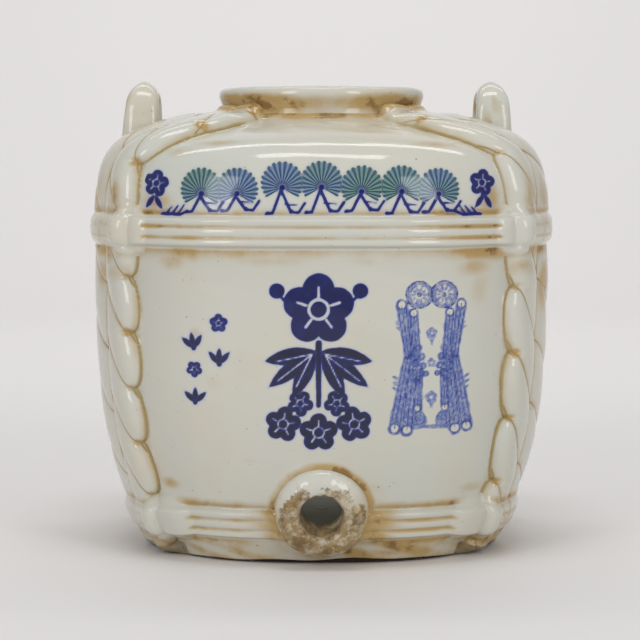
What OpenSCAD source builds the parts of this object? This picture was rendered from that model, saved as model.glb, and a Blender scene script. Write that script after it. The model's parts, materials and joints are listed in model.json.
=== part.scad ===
// A white porcelain sake jar, moulded as a keg tied up in straw rope.
// The origin is at the middle of the foot, +Z is up and the spigot faces -Y.
// Azimuths are in degrees from the front, turning towards +X.

/* [Body] */
// Half width of the plain wall at its widest
body_half = 119.5; // [105:0.5:130]
// Height of the shoulder where it would meet the mouth's edge
shoulder_h = 239; // [225:1:250]
// Thickness of the wall and the shoulder
wall_t = 7; // [6:0.5:9]
// How square the plan is: 2 is a circle
squareness = 2.6; // [2:0.1:3]
// Height of the foot ring at the outside
foot_h = 8; // [7:0.5:9]
// Width of the foot ring's resting face
foot_w = 11; // [8:0.5:16]
// Thickness of the base slab
base_t = 7; // [5:0.5:9]
// How far the wall's tongue goes up inside the shoulder
lap_h = 6; // [3:0.5:8]

/* [Ropes and hoops] */
// Height of a rope's relief
rope_h = 7.5; // [4:0.5:9]
// Height of a hoop's three ridges
hoop_h = 3.5; // [2:0.5:5]
// Depth of the two grooves between a hoop's ridges, as a share of hoop_h
hoop_groove = 0.45; // [0.2:0.05:0.7]
// Height of a knot's relief above the hoop
knot_h = 3; // [1:0.5:4]
// How far a knot reaches above and below its hoop
knot_reach = 4; // [2:0.5:6]
// Where the ropes stop above the resting face, along the wall
rope_start = 1.5; // [1:0.5:4]

/* [Mouth] */
// Height of the lip
lip_z = 255; // [250:1:262]
// Outer radius of the collar
collar_r = 58; // [55:0.5:62]
// Radius of the mouth
mouth_r = 48; // [42:0.5:49]
// Outer radius of the collar's tenon, which goes down through the shoulder
tenon_r = 53; // [52:0.5:54]
// Radius of the lip's rounding
lip_round = 4; // [2:0.5:4.5]

/* [Spigot] */
// Height of the boss's middle where it meets the wall
boss_z = 30.5; // [30.5:0.5:40]
// Radius of the boss at the wall
boss_r = 24.5; // [22:0.5:25]
// Radius of the boss's front face
boss_face_r = 19.2; // [18:0.2:21]
// How far the boss stands out from its seat
boss_len = 14; // [11:0.5:18]
// Radius of the bore for the tap
bore_r = 11.5; // [9:0.5:13]
// Radius of the boss's tenon, which goes through the wall
boss_tenon_r = 15.5; // [15:0.5:17]
// How far the boss points down
boss_tilt = 12; // [8:1:16]
// Depth of the seat cut for the boss
boss_seat = 3; // [2.5:0.5:4]

/* [Lugs] */
// Height of the lugs' tops
lug_top = 259; // [256:1:264]
// Distance of the left lug's middle from the jar's axis
lug_left_x = 100.5; // [94:0.5:101]
// Distance of the right lug's middle from the jar's axis
lug_right_x = 96; // [94:0.5:101]
// Width of a lug, front to back
lug_w = 40; // [34:1:42]
// Thickness of a lug at its foot, away from the jar's axis
lug_t = 21.6; // [18:0.2:23]
// Thickness of a lug near its top
lug_top_t = 14.5; // [12:0.5:16]
// Radius of the eye
eye_r = 8; // [6:0.5:9]
// Height of the right eye's middle
eye_z = 242.5; // [241:0.5:245]
// How much lower the left eye sits, as each was pierced by hand
left_eye_drop = 1.5; // [1:0.5:3]

/* [Hidden] */
$fn = 96;

// The glaze is warm where tea-coloured stains have settled in the rope work.
white_glaze = "#e6e2d6";
warm_glaze = "#d8cbae";
bare_clay = "#c2b294";

// The outer outline at the middle of the front: half width and height, for a body_half of 119.5 and a shoulder_h
// of 239. Knots 2 and 3 bound the lower hoop, 7 and 8 the upper hoop, and 9 is the joint of wall and shoulder.
OUTLINE = [
    [90, 0], [94, 8], [97.8, 14.5], [103.8, 31.5], [111.8, 58], [117, 90], [119, 130], [119.5, 169],
    [119.5, 186], [118.5, 201], [113.5, 215.5], [103.5, 224], [84, 231], [63, 236], [50, 239]
];
FOOT = 1;
LOWER_HOOP = 2;
UPPER_HOOP = 7;
WALL_TOP = 9;
NECK = 13;
KNOTS = [for (p = OUTLINE) [p[0] * body_half / 119.5, p[1] <= 8 ? p[1] * foot_h / 8 : p[1] * shoulder_h / 239]];
LAST = len(KNOTS) - 1;

function run_to(i) = i == 0 ? 0 : run_to(i - 1) + norm(KNOTS[i] - KNOTS[i - 1]);
// The length along the outline from the foot to each knot: a place on the wall is named by this length.
RUN = [for (i = [0:LAST]) run_to(i)];

function clamp(x, low = 0, high = 1) = min(max(x, low), high);
function smooth(x) = let (u = clamp(x)) u * u * (3 - 2 * u);
function mix(a, b, u) = a + (b - a) * u;
function stretch_of(s, i = 0) = i == LAST - 1 || s < RUN[i + 1] ? i : stretch_of(s, i + 1);
function slope_at(i) = (KNOTS[min(i + 1, LAST)] - KNOTS[max(i - 1, 0)]) / (RUN[min(i + 1, LAST)] - RUN[max(i - 1, 0)]);

// The outline at the length s, a smooth curve through the knots
function outline(s) = let (
    i = stretch_of(s), h = RUN[i + 1] - RUN[i], u = (s - RUN[i]) / h,
    u2 = u * u, u3 = u2 * u
) KNOTS[i] * (2 * u3 - 3 * u2 + 1) + slope_at(i) * h * (u3 - 2 * u2 + u)
    + KNOTS[i + 1] * (3 * u2 - 2 * u3) + slope_at(i + 1) * h * (u3 - u2);
function outward(s) = let (step = 0.1, d = outline(s + step) - outline(s - step)) [d[1], -d[0]] / norm(d);

// How far up the shoulder a place is: 0 at the wall, 1 at the neck
function up_shoulder(s) = smooth((s - RUN[WALL_TOP]) / (RUN[NECK] - RUN[WALL_TOP]));

// The columns of one quarter, front to side, on the wall and at the neck. The ropes lie between columns 7, 12 and 16.
WALL_AZ = [0, 14, 28, 38, 43, 46, 47.5, 49, 50.5, 52, 55, 58.8, 61, 64.7, 71.2, 78.4, 81.5, 85, 90];
NECK_AZ = [0, 10, 18, 24, 27.5, 29.5, 31, 33, 35, 37, 42.5, 49.5, 53, 57.5, 65, 73.5, 77, 82, 90];
ROPE_EDGES = [7, 12, 16];
QUARTER = len(WALL_AZ) - 1;
AROUND = 4 * QUARTER;
KNOT_COLUMNS = [5, 9];

// The quarter's column that column i mirrors, and the azimuth that it is mirrored to
function folded(i) = let (q = (i + AROUND) % (2 * QUARTER)) q <= QUARTER ? q : 2 * QUARTER - q;
function unfolded(i, a) = let (
    n = (i + AROUND) % AROUND, q = floor(n / QUARTER)
) q == 0 ? a : q == 1 ? 180 - a : q == 2 ? 180 + a : 360 - a;
function azimuth(i, s) = let (f = folded(i)) unfolded(i, mix(WALL_AZ[f], NECK_AZ[f], up_shoulder(s)));

// The point of the plan whose half width is r, in column i, at height z
function in_plan(i, s, r, z) = let (
    a = azimuth(i, s), n = mix(squareness, 2, up_shoulder(s)),
    away = r / pow(pow(abs(sin(a)), n) + pow(abs(cos(a)), n), 1 / n)
) [away * sin(a), -away * cos(a), z];
// The point at the length s along the outline and at the distance off from the wall's outer face. Nothing outside
// the wall reaches lower than clear_z.
clear_z = 1;
function on_wall(i, s, off) = let (
    t = max(s, 0.2), wall = outline(t), p = wall + off * outward(t)
) in_plan(i, s, p[0], max(p[1], min(wall[1], clear_z)));

// A rope is a half round: its relief in column i
function rope_relief(i) = let (
    f = folded(i), k = f < ROPE_EDGES[1] ? 0 : 1,
    a0 = WALL_AZ[ROPE_EDGES[k]], a1 = WALL_AZ[ROPE_EDGES[k + 1]], u = 2 * (WALL_AZ[f] - a0) / (a1 - a0) - 1
) abs(u) < 0.999 ? rope_h * sqrt(1 - u * u) : 0;

// Lengths of a hoop's edges, ridges and grooves, and their relief
RIDGES = [0, 1, 1 - hoop_groove, 1, 1 - hoop_groove, 1, 0];
function hoop_levels(k) = [for (n = [0:6]) mix(RUN[k], RUN[k + 1], n / 6)];
function hoop_relief(k, s) = let (u = 6 * (s - RUN[k]) / (RUN[k + 1] - RUN[k]), n = clamp(round(u), 0, 6))
    hoop_h * RIDGES[n];
function knot_levels(k) = concat([RUN[k] - knot_reach], hoop_levels(k), [RUN[k + 1] + knot_reach]);
function any_hoop(s) = hoop_relief(LOWER_HOOP, clamp(s, RUN[LOWER_HOOP], RUN[LOWER_HOOP + 1]))
    + hoop_relief(UPPER_HOOP, clamp(s, RUN[UPPER_HOOP], RUN[UPPER_HOOP + 1]));

function halves(a, b) = [for (k = [a:b]) each k < b ? [RUN[k], (RUN[k] + RUN[k + 1]) / 2] : [RUN[k]]];
LOWER_LEVELS = knot_levels(LOWER_HOOP);
UPPER_LEVELS = knot_levels(UPPER_HOOP);
WALL_LEVELS = concat(
    [RUN[FOOT]], LOWER_LEVELS, [for (s = halves(LOWER_HOOP + 2, UPPER_HOOP - 1)) s],
    UPPER_LEVELS, [RUN[WALL_TOP]]
);
NECK_END = (RUN[NECK] + RUN[LAST]) / 2;
SHOULDER_LEVELS = concat(halves(WALL_TOP, NECK), [NECK_END, RUN[LAST]]);
ROPE_LEVELS = concat(
    [rope_start], WALL_LEVELS, [for (k = [1:len(SHOULDER_LEVELS) - 2]) SHOULDER_LEVELS[k]]
);

// ---- Solids between two faces that follow the wall ----

// Two triangles for a cell of a closed section, cut along the same diagonal as the neighbour's facing cell
function cell(a, b, c, d, rising) = rising ? [[a, c, b], [a, d, c]] : [[a, d, b], [b, d, c]];
function is_rising(p, q) = q[0] > p[0] || (q[0] == p[0] && q[1] > p[1]);
function ring_point(i, e) = e[0] < 0 ? in_plan(i, 0, e[1], e[2]) : on_wall(i, e[0], e[1]);

// A closed section carried all round the jar. An entry is [length, offset] on the wall, or [-1, half width, height].
module ring(section) {
    n = len(section);
    points = [for (i = [0:AROUND - 1]) each [for (e = section) ring_point(i, e)]];
    faces = [
        for (i = [0:AROUND - 1]) let (j = (i + 1) % AROUND)
            for (k = [0:n - 1]) let (m = (k + 1) % n)
                each cell(i * n + k, j * n + k, j * n + m, i * n + m, is_rising(section[k], section[m]))
    ];
    polyhedron(points = points, faces = faces);
}

// The solid between two faces over columns i0 to i1, or all round, and over some levels. under and over give the
// faces' distances from the wall. Where they are the same, the faces meet in one edge.
module between(i0, i1, levels, under, over) {
    all_round = i1 - i0 == AROUND;
    w = all_round ? AROUND : i1 - i0 + 1;
    h = len(levels);
    last_col = all_round ? w - 1 : w - 2;
    columns = [for (c = [0:w - 1]) i0 + c];
    low = [for (s = levels) each [for (i = columns) on_wall(i, s, under(i, s))]];
    high = [for (s = levels) each [for (i = columns) on_wall(i, s, over(i, s))]];
    apart = [for (s = levels) each [for (i = columns) over(i, s) - under(i, s) > 0.01]];
    function at(top, c, r) = let (n = r * w + c % w) top && apart[n] ? w * h + n : n;
    function is_edge(t) = t[0] == t[1] || t[1] == t[2] || t[0] == t[2];
    function is_shared(t) = max(t) < w * h && !apart[t[0]] && !apart[t[1]] && !apart[t[2]];
    function quad(a, b, c, d) = [[a, c, b], [a, d, c]];
    faces = concat(
        [for (r = [0:h - 2]) for (c = [0:last_col])
            each quad(at(true, c, r), at(true, c + 1, r), at(true, c + 1, r + 1), at(true, c, r + 1))],
        [for (r = [0:h - 2]) for (c = [0:last_col]) let (
                a = at(false, c, r), b = at(false, c + 1, r), d = at(false, c + 1, r + 1), e = at(false, c, r + 1)
            ) each [[a, b, d], [a, d, e]]],
        [for (r = [0, h - 1]) for (c = [0:last_col]) let (
                a = at(false, c, r), b = at(false, c + 1, r), d = at(true, c + 1, r), e = at(true, c, r)
            ) each r == 0 ? [[a, d, b], [a, e, d]] : [[a, b, d], [a, d, e]]],
        all_round ? [] : [for (c = [0, w - 1]) for (r = [0:h - 2]) let (
                a = at(false, c, r), b = at(false, c, r + 1), d = at(true, c, r + 1), e = at(true, c, r)
            ) each c == 0 ? [[a, b, d], [a, d, e]] : [[a, d, b], [a, e, d]]]
    );
    polyhedron(points = concat(low, high), faces = [for (t = faces) if (!is_edge(t) && !is_shared(t)) t]);
}

// ---- The jar's own pieces ----

FOOT_TOP = on_wall(0, RUN[FOOT], -wall_t)[2];
SLAB_TOP = RUN[FOOT] + base_t;

// The ring that the jar stands on
module foot_ring() {
    foot_in = KNOTS[0][0] - foot_w;
    color(bare_clay) difference() {
        ring([
            [-1, KNOTS[0][0], 0], [rope_start, 0], [RUN[FOOT], 0], [RUN[FOOT], -wall_t], [-1, foot_in, FOOT_TOP],
            [-1, foot_in, 0]
        ]);
        on_boss_axis() cylinder(h = 40, r = boss_r);
    }
}

// The floor of the jar, let in to the bottom of the wall
module base_slab() {
    rim = [for (s = [RUN[FOOT], SLAB_TOP]) each [for (i = [0:AROUND - 1]) on_wall(i, s, -wall_t)]];
    top_z = rim[AROUND][2];
    points = concat(rim, [[0, 0, FOOT_TOP], [0, 0, top_z]]);
    faces = [for (i = [0:AROUND - 1]) let (j = (i + 1) % AROUND) each [
        [i, AROUND + j, j], [i, AROUND + i, AROUND + j],
        [2 * AROUND, i, j], [2 * AROUND + 1, AROUND + j, AROUND + i]
    ]];
    color(white_glaze) polyhedron(points = points, faces = faces);
}

module body_wall() {
    tongue = -wall_t / 2;
    inside = [RUN[WALL_TOP] + lap_h, RUN[8], RUN[7], RUN[6], RUN[5], RUN[4], RUN[3], RUN[2], SLAB_TOP, RUN[FOOT]];
    color(white_glaze) difference() {
        ring(concat(
            [for (s = WALL_LEVELS) [s, 0]],
            [[RUN[WALL_TOP], tongue], [RUN[WALL_TOP] + lap_h, tongue]],
            [for (s = inside) [s, -wall_t]]
        ));
        on_boss_axis() cylinder(h = 40, r = boss_r);
        on_boss_axis() translate([0, 0, -30]) cylinder(h = 60, r = boss_tenon_r);
    }
}

module shoulder() {
    tongue = -wall_t / 2;
    inside = [RUN[LAST], RUN[13], RUN[12], RUN[11], RUN[10], RUN[WALL_TOP] + lap_h];
    color(white_glaze) difference() {
        ring(concat(
            [for (s = SHOULDER_LEVELS) [s, 0]],
            [for (s = inside) [s, -wall_t]],
            [[RUN[WALL_TOP] + lap_h, tongue], [RUN[WALL_TOP], tongue]]
        ));
        cylinder(h = 300, r = tenon_r);
        translate([0, 0, COLLAR_SEAT]) cylinder(h = 60, r = collar_r);
        lug_blank(lug_right_x);
        mirror([1, 0, 0]) lug_blank(lug_left_x);
    }
}

// ---- Mouth ----

COLLAR_SEAT = KNOTS[NECK][1] - 0.5;
TENON_END = COLLAR_SEAT - 7;

module mouth_collar() {
    arc = [for (a = [0:15:90]) a];
    mid_z = lip_z - lip_round;
    color(white_glaze) rotate_extrude() polygon(concat(
        [[mouth_r, TENON_END], [tenon_r, TENON_END], [tenon_r, COLLAR_SEAT], [collar_r, COLLAR_SEAT]],
        [for (a = arc) [collar_r - lip_round * (1 - cos(a)), mid_z + lip_round * sin(a)]],
        [for (a = arc) [mouth_r + lip_round * (1 - sin(a)), mid_z + lip_round * cos(a)]]
    ));
}

// ---- Spigot ----

// Puts its children's +Z on the boss's axis, out from its seat in the wall
module on_boss_axis() {
    wall_y = -on_wall(0, RUN[LOWER_HOOP + 1], 0)[1];
    translate([0, -wall_y, boss_z]) rotate([90 + boss_tilt, 0, 0]) translate([0, 0, -boss_seat]) children();
}

module spigot_boss() {
    tenon_end = boss_seat - wall_t - 2;
    straight = boss_seat + 2;
    edge = 2;
    color(bare_clay) on_boss_axis() rotate_extrude() polygon([
        [bore_r, tenon_end], [boss_tenon_r, tenon_end], [boss_tenon_r, 0], [boss_r, 0], [boss_r, straight],
        [boss_face_r + edge, boss_len - edge], [boss_face_r, boss_len], [bore_r, boss_len]
    ]);
}

// ---- Lugs ----

// A lug's outer shape: an arch seen from the side of the jar, thinner towards its round top
module lug_blank(x) {
    seat_tilt = 19;
    seat_z = 223 * shoulder_h / 239;
    foot_z = 205;
    top_half = lug_top_t / 2;
    arch_r = 0.46 * lug_w;
    turn = [for (a = [-80:10:80]) a];
    turn_r = top_half / sin(80);
    intersection() {
        translate([x, 0, 0]) rotate([90, 0, 90]) linear_extrude(height = 60, center = true) polygon(concat(
            [[lug_w / 2, foot_z]], [for (a = turn) [-arch_r * sin(a), lug_top - arch_r * (1 - cos(a))]],
            [[-lug_w / 2, foot_z]]
        ));
        translate([x, 0, 0]) rotate([90, 0, 0]) linear_extrude(height = 60, center = true) polygon(concat(
            [[lug_t / 2 + 2, foot_z]], [for (a = turn) [-turn_r * sin(a), lug_top - turn_r * (1 - cos(a))]],
            [[-lug_t / 2 - 2, foot_z]]
        ));
        translate([x, 0, seat_z]) rotate([0, seat_tilt, 0]) translate([-50, -50, 0]) cube(100);
    }
}

module lug(x, middle_z) {
    color(white_glaze) difference() {
        lug_blank(x);
        translate([x - 30, 0, middle_z]) rotate([0, 90, 0]) cylinder(h = 60, r = eye_r);
    }
}

module lug_left() {
    mirror([1, 0, 0]) lug(lug_left_x, eye_z - left_eye_drop);
}

module lug_right() {
    lug(lug_right_x, eye_z);
}

// ---- Rope work ----

// One rope, from its tail at the foot to its end against the collar. pair 0 is the inner rope and 1 the outer;
// the quarter is counted from the front right, turning towards +X and the back.
module rope(quarter, pair) {
    turned = quarter % 2 == 1;
    first = quarter * QUARTER + (turned ? QUARTER - ROPE_EDGES[pair + 1] : ROPE_EDGES[pair]);
    columns = ROPE_EDGES[pair + 1] - ROPE_EDGES[pair];
    color(warm_glaze) difference() {
        between(first, first + columns, ROPE_LEVELS, function (i, s) 0, function (i, s) rope_relief(i));
        translate([0, 0, COLLAR_SEAT - 20]) cylinder(h = 60, r = collar_r);
    }
}

module front_right_inner_rope() {
    rope(0, 0);
}

module front_right_outer_rope() {
    rope(0, 1);
}

module back_right_inner_rope() {
    rope(1, 0);
}

module back_right_outer_rope() {
    rope(1, 1);
}

module back_left_inner_rope() {
    rope(2, 0);
}

module back_left_outer_rope() {
    rope(2, 1);
}

module front_left_inner_rope() {
    rope(3, 0);
}

module front_left_outer_rope() {
    rope(3, 1);
}

function has_rope(i) = folded(i) > ROPE_EDGES[0] && folded(i) < ROPE_EDGES[2];
function over_rope(i) = has_rope(i) ? rope_relief(i) : 0;

// A hoop of three ridges, laid over the ropes
module hoop(k) {
    between(
        0, AROUND, hoop_levels(k), function (i, s) over_rope(i), function (i, s) over_rope(i) + hoop_relief(k, s)
    );
}

module upper_hoop() {
    color(warm_glaze) hoop(UPPER_HOOP);
}

module lower_hoop() {
    color(warm_glaze) difference() {
        hoop(LOWER_HOOP);
        on_boss_axis() cylinder(h = 40, r = boss_r);
    }
}

// How much a knot stands up in column i at the length s: an oval dome
function knot_relief(i, k, s) = let (
    mid = (RUN[k] + RUN[k + 1]) / 2, half = (RUN[k + 1] - RUN[k]) / 2 + knot_reach,
    a0 = WALL_AZ[KNOT_COLUMNS[0]], a1 = WALL_AZ[KNOT_COLUMNS[1]],
    across = 2 * (WALL_AZ[folded(i)] - a0) / (a1 - a0) - 1, along = (s - mid) / half
) abs(across) > 0.999 || abs(along) > 0.999 ? 0 : knot_h * sqrt((1 - across * across) * (1 - along * along));

// The four knots of one hoop, one where it reaches the first rope on each side of the front and the back
module knots(k) {
    for (quarter = [0:3]) {
        turned = quarter % 2 == 1;
        first = quarter * QUARTER + (turned ? QUARTER - KNOT_COLUMNS[1] : KNOT_COLUMNS[0]);
        between(
            first, first + KNOT_COLUMNS[1] - KNOT_COLUMNS[0], knot_levels(k),
            function (i, s) over_rope(i) + any_hoop(s),
            function (i, s) over_rope(i) + any_hoop(s) + knot_relief(i, k, s)
        );
    }
}

module upper_knots() {
    color(warm_glaze) knots(UPPER_HOOP);
}

module lower_knots() {
    color(warm_glaze) knots(LOWER_HOOP);
}

foot_ring();
base_slab();
body_wall();
shoulder();
mouth_collar();
spigot_boss();
lug_left();
lug_right();
front_left_inner_rope();
front_left_outer_rope();
front_right_inner_rope();
front_right_outer_rope();
back_left_inner_rope();
back_left_outer_rope();
back_right_inner_rope();
back_right_outer_rope();
upper_hoop();
lower_hoop();
upper_knots();
lower_knots();
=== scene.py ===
"""A white porcelain sake jar moulded as a rope-tied keg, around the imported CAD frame.

The jar's outside is one relief over the wall's outline, in millimetres. A place on it is named by its azimuth
on the wall, in degrees from the front turning towards +X, and by s, the length along the outline up from the
foot. Each piece is a closed mesh cut from that relief, so neighbouring pieces share their seams.
"""
import json
import math
import bpy
import numpy as np
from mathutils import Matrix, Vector


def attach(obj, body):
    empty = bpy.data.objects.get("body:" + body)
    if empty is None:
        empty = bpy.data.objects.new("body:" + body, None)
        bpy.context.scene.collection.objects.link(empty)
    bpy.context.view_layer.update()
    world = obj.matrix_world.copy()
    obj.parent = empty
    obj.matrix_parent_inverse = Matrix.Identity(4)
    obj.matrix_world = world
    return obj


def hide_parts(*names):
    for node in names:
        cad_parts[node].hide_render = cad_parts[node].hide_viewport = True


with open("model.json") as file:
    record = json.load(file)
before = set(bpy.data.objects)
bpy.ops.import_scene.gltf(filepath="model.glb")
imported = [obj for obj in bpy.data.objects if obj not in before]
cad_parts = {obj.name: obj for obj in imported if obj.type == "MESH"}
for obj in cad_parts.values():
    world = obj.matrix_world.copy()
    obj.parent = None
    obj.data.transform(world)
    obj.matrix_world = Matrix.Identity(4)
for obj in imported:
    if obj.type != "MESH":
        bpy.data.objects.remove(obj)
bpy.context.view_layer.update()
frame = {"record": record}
MM = 0.001

# ---- The outline of the wall, as in part.scad ----

WALL_T = 7.0
SQUARENESS = 2.6
ROPE_H = 7.8
HOOP_H = 3.2
OUTLINE = np.array([
    (90, 0), (94, 8), (97.8, 14.5), (103.8, 31.5), (111.8, 58), (117, 90), (119, 130), (119.5, 169),
    (119.5, 186), (118.5, 201), (113.5, 215.5), (103.5, 224), (84, 231), (63, 236), (50, 239),
])
LAST = len(OUTLINE) - 1
RUN = np.concatenate([[0], np.cumsum(np.linalg.norm(np.diff(OUTLINE, axis=0), axis=1))])
# The points of OUTLINE where the foot ends, each hoop starts, the wall ends and the collar starts
FOOT, LOWER, UPPER, WALL_TOP, NECK = 1, 2, 7, 9, 13
# Azimuths on the wall, and those that they have moved to at the neck, where the ropes draw together
WALL_AZ = [0, 14, 28, 38, 43, 46, 47.5, 49, 50.5, 52, 55, 58.8, 61, 64.7, 71.2, 78.4, 81.5, 85, 90]
NECK_AZ = [0, 10, 18, 24, 27.5, 29.5, 31, 33, 35, 37, 42.5, 49.5, 53, 57.5, 65, 73.5, 77, 82, 90]
# The azimuth of the seam between the two ropes of a pair
SEAM_AZ = 61.0
COLLAR_R = 58.0
# The dark edge of the foot, partly unglazed clay and partly painted shade of the gap under the foot: its
# height at most places, and how far it lies behind the glaze
FOOT_LIP, FOOT_UNDERCUT = 0.9, 1.5


def smooth(x):
    x = np.clip(x, 0, 1)
    return x * x * (3 - 2 * x)


def mix(a, b, t):
    return a + (b - a) * t


def bell(x, width):
    return np.exp(-(x / width) ** 2)


def slopes():
    low = np.maximum(np.arange(LAST + 1) - 1, 0)
    high = np.minimum(np.arange(LAST + 1) + 1, LAST)
    return (OUTLINE[high] - OUTLINE[low]) / (RUN[high] - RUN[low])[:, None]


SLOPES = slopes()


def outline(s):
    """Half width and height of the outline at the lengths s: a smooth curve through the points of OUTLINE."""
    i = np.clip(np.searchsorted(RUN, s, side="right") - 1, 0, LAST - 1)
    h = RUN[i + 1] - RUN[i]
    u = ((s - RUN[i]) / h)[..., None]
    h = h[..., None]
    return (OUTLINE[i] * (2 * u**3 - 3 * u**2 + 1) + SLOPES[i] * h * (u**3 - 2 * u**2 + u)
            + OUTLINE[i + 1] * (3 * u**2 - 2 * u**3) + SLOPES[i + 1] * h * (u**3 - u**2))


def up_shoulder(s):
    return smooth((s - RUN[WALL_TOP]) / (RUN[NECK] - RUN[WALL_TOP]))


def fold(az):
    """The azimuth in the first quarter that az mirrors."""
    a = np.mod(az, 180)
    return np.where(a > 90, 180 - a, a)


def true_azimuth(az, s):
    """The ropes draw together towards the neck, so an azimuth on the wall moves as s goes up the shoulder."""
    f = fold(az)
    moved = mix(f, np.interp(f, WALL_AZ, NECK_AZ), up_shoulder(s))
    a = np.mod(az, 360)
    return np.select([a <= 90, a <= 180, a <= 270], [moved, 180 - moved, 180 + moved], 360 - moved)


def place(az, s, off):
    """Points, in millimetres, at the distance off out from the wall."""
    t = np.maximum(s, 0)
    wall = outline(t)
    d = outline(np.minimum(t + 0.1, RUN[-1])) - outline(t - 0.1)
    d = d / np.linalg.norm(d, axis=-1, keepdims=True)
    r = wall[..., 0] + off * d[..., 1]
    z = np.maximum(wall[..., 1] - off * d[..., 0], np.minimum(wall[..., 1], 0.6))
    a = np.radians(true_azimuth(az, s))
    n = mix(SQUARENESS, 2, up_shoulder(s))
    away = r / (np.abs(np.sin(a)) ** n + np.abs(np.cos(a)) ** n) ** (1 / n)
    return np.stack([away * np.sin(a), -away * np.cos(a), z], axis=-1)


# ---- The relief ----

# Each rope: its first and last azimuth, the pitch of its strands and the s of a notch in its free edge
ROPES = {
    "front_right_inner_rope": (49.0, 61.0, 35.0, 12.0),
    "front_right_outer_rope": (61.0, 81.5, 33.5, -5.0),
    "back_right_outer_rope": (98.5, 119.0, 33.0, 4.0),
    "back_right_inner_rope": (119.0, 131.0, 34.0, -0.4),
    "back_left_inner_rope": (229.0, 241.0, 33.0, -2.0),
    "back_left_outer_rope": (241.0, 261.5, 34.0, -5.4),
    "front_left_outer_rope": (278.5, 299.0, 35.0, 6.0),
    "front_left_inner_rope": (299.0, 311.0, 29.7, 9.4),
}
# How far a strand climbs down across its rope, as a share of the pitch, and the depth of the crease beside it
LAY = 0.8
CREASE = 0.15
# How far a notch in a rope's free edge cuts in, and how much further out the edge lies between notches, in
# degrees
NOTCH, BULGE = 2.2, 3.0


def rope_relief(az, s, radius):
    """Height of the ropes, and of a band drawn tight over each pair. Then, for the lines on them, the cosine
    and sine of the turn from one line between strands to the next, the signed distance to the free edge, and
    the distances to the nearest line and the nearest notch, in millimetres."""
    height, plain_height = np.zeros_like(az), np.zeros_like(az)
    rim, line, notch = (np.full_like(az, 50.0) for _ in range(3))
    lay_x, lay_y = -np.ones_like(az), np.zeros_like(az)
    for a0, a1, pitch, start in ROPES.values():
        near = (az > a0 - 5) & (az < a1 + 5)
        free = 1 if fold(a0) == SEAM_AZ else -1
        half = (a1 - a0) / 2
        v = free * (az[near] - (a0 + a1) / 2) / half
        notched = 1 - NOTCH / half
        sn = s[near]
        above = (sn - start) / pitch
        whole = smooth((RUN[NECK] - 3 - sn) / 14)
        across = math.radians(half) * radius[near]
        phase = np.mod(above + free * LAY * (np.maximum((v + 1) / (1 + notched), 0) ** 1.3 - 1), 1)
        beyond = np.mod(above, 1)
        climb = beyond if free > 0 else 1 - beyond
        lobe = np.abs(np.sin(math.pi * climb**0.75)) ** 0.55
        edge = notched + BULGE / half * mix(lobe, 0.7, 0.75 * up_shoulder(sn))
        q = (2 * v - edge + 1) / (edge + 1)
        dome = np.clip(1 - np.abs(q) ** 2.3, 0, 1) ** 0.68
        pillow = np.abs(np.sin(math.pi * phase)) ** 0.55
        seam_side = 0.7 * smooth((1 - v) / 2) * (v > -1.02)
        raised = seam_side + (1 - seam_side) * dome
        inside = (np.abs(q) < 1).astype(float)
        ends = ROPE_H * smooth((sn + 1.5) / 9) * (0.72 + 0.28 * whole)
        height[near] = np.maximum(height[near], ends * raised * (1 - CREASE * whole * (1 - pillow) * inside))
        plain = np.clip(1 - np.maximum(v, 0) ** 2.4, 0, 1) ** 0.6 * (v > -1.02)
        plain_height[near] = np.maximum(plain_height[near], ends * plain)
        strand = np.where(inside > 0, np.minimum(phase, 1 - phase) * pitch * 0.7, 50)
        sides = np.minimum(np.abs(v - edge), np.abs(v + 1)) * across
        line[near] = np.minimum(line[near], np.minimum(strand, sides))
        down = np.minimum(beyond, 1 - beyond) * pitch
        notch[near] = np.minimum(notch[near], np.hypot((v - notched) * across, down))
        own = near.copy()
        own[near] = v > -1.001
        mine = own[near]
        rim[own] = ((v - edge) * across)[mine]
        lay_x[own] = np.cos(2 * math.pi * phase)[mine]
        lay_y[own] = np.sin(2 * math.pi * phase)[mine]
    return {
        "height": height, "plain": plain_height, "rim": rim, "lay_x": lay_x, "lay_y": lay_y,
        "line": line, "notch": notch,
    }


def band(s, low, high, soft):
    """1 between low and high and 0 outside, with soft edges."""
    return smooth((s - low) / soft + 0.5) * smooth((high - s) / soft + 0.5)


def hoop_relief(az, s, k, knot):
    """A hoop's three flat ridges, which soften over the ropes and under a knot, and how deep in a groove each
    place is."""
    low, high = RUN[k], RUN[k + 1]
    u = np.clip((s - low) / (high - low), 0, 1)
    over = smooth((fold(az) - 46) / 5) * (1 - smooth((fold(az) - 84) / 5))
    flat = smooth(u / 0.13) * smooth((1 - u) / 0.13)
    rise = mix(flat, np.clip(1 - np.abs(2 * u - 1) ** 3, 0, 1) ** 0.8, over)
    ridge = np.abs(np.sin(3 * math.pi * u)) ** 0.5
    share = 0.42 * (1 - 0.8 * over) * (1 - smooth(knot / 1.4))
    return HOOP_H * rise * (1 - share + share * ridge), (1 - ridge**2.4) * flat


# Each hoop's knots: half width in degrees, reach past the hoop, height, and azimuth in the first quarter
KNOTS = {
    UPPER: {"half_az": 6.0, "reach": 6.0, "height": 3.2, "az": 49.5},
    LOWER: {"half_az": 9.5, "reach": 6.0, "height": 3.8, "az": 46.5},
}
# The height at which a knot's own piece starts
KNOT_EDGE = 0.35


def knot_relief(az, s, k):
    """The swelling of a knot, which runs out softly into the ropes and the hoop."""
    knot = KNOTS[k]
    mid, half = (RUN[k] + RUN[k + 1]) / 2, (RUN[k + 1] - RUN[k]) / 2 + knot["reach"]
    across = (fold(az) - knot["az"]) / knot["half_az"]
    along = (s - mid) / half
    return knot["height"] * smooth(1 - across**2 - np.abs(along) ** 3)


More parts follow.
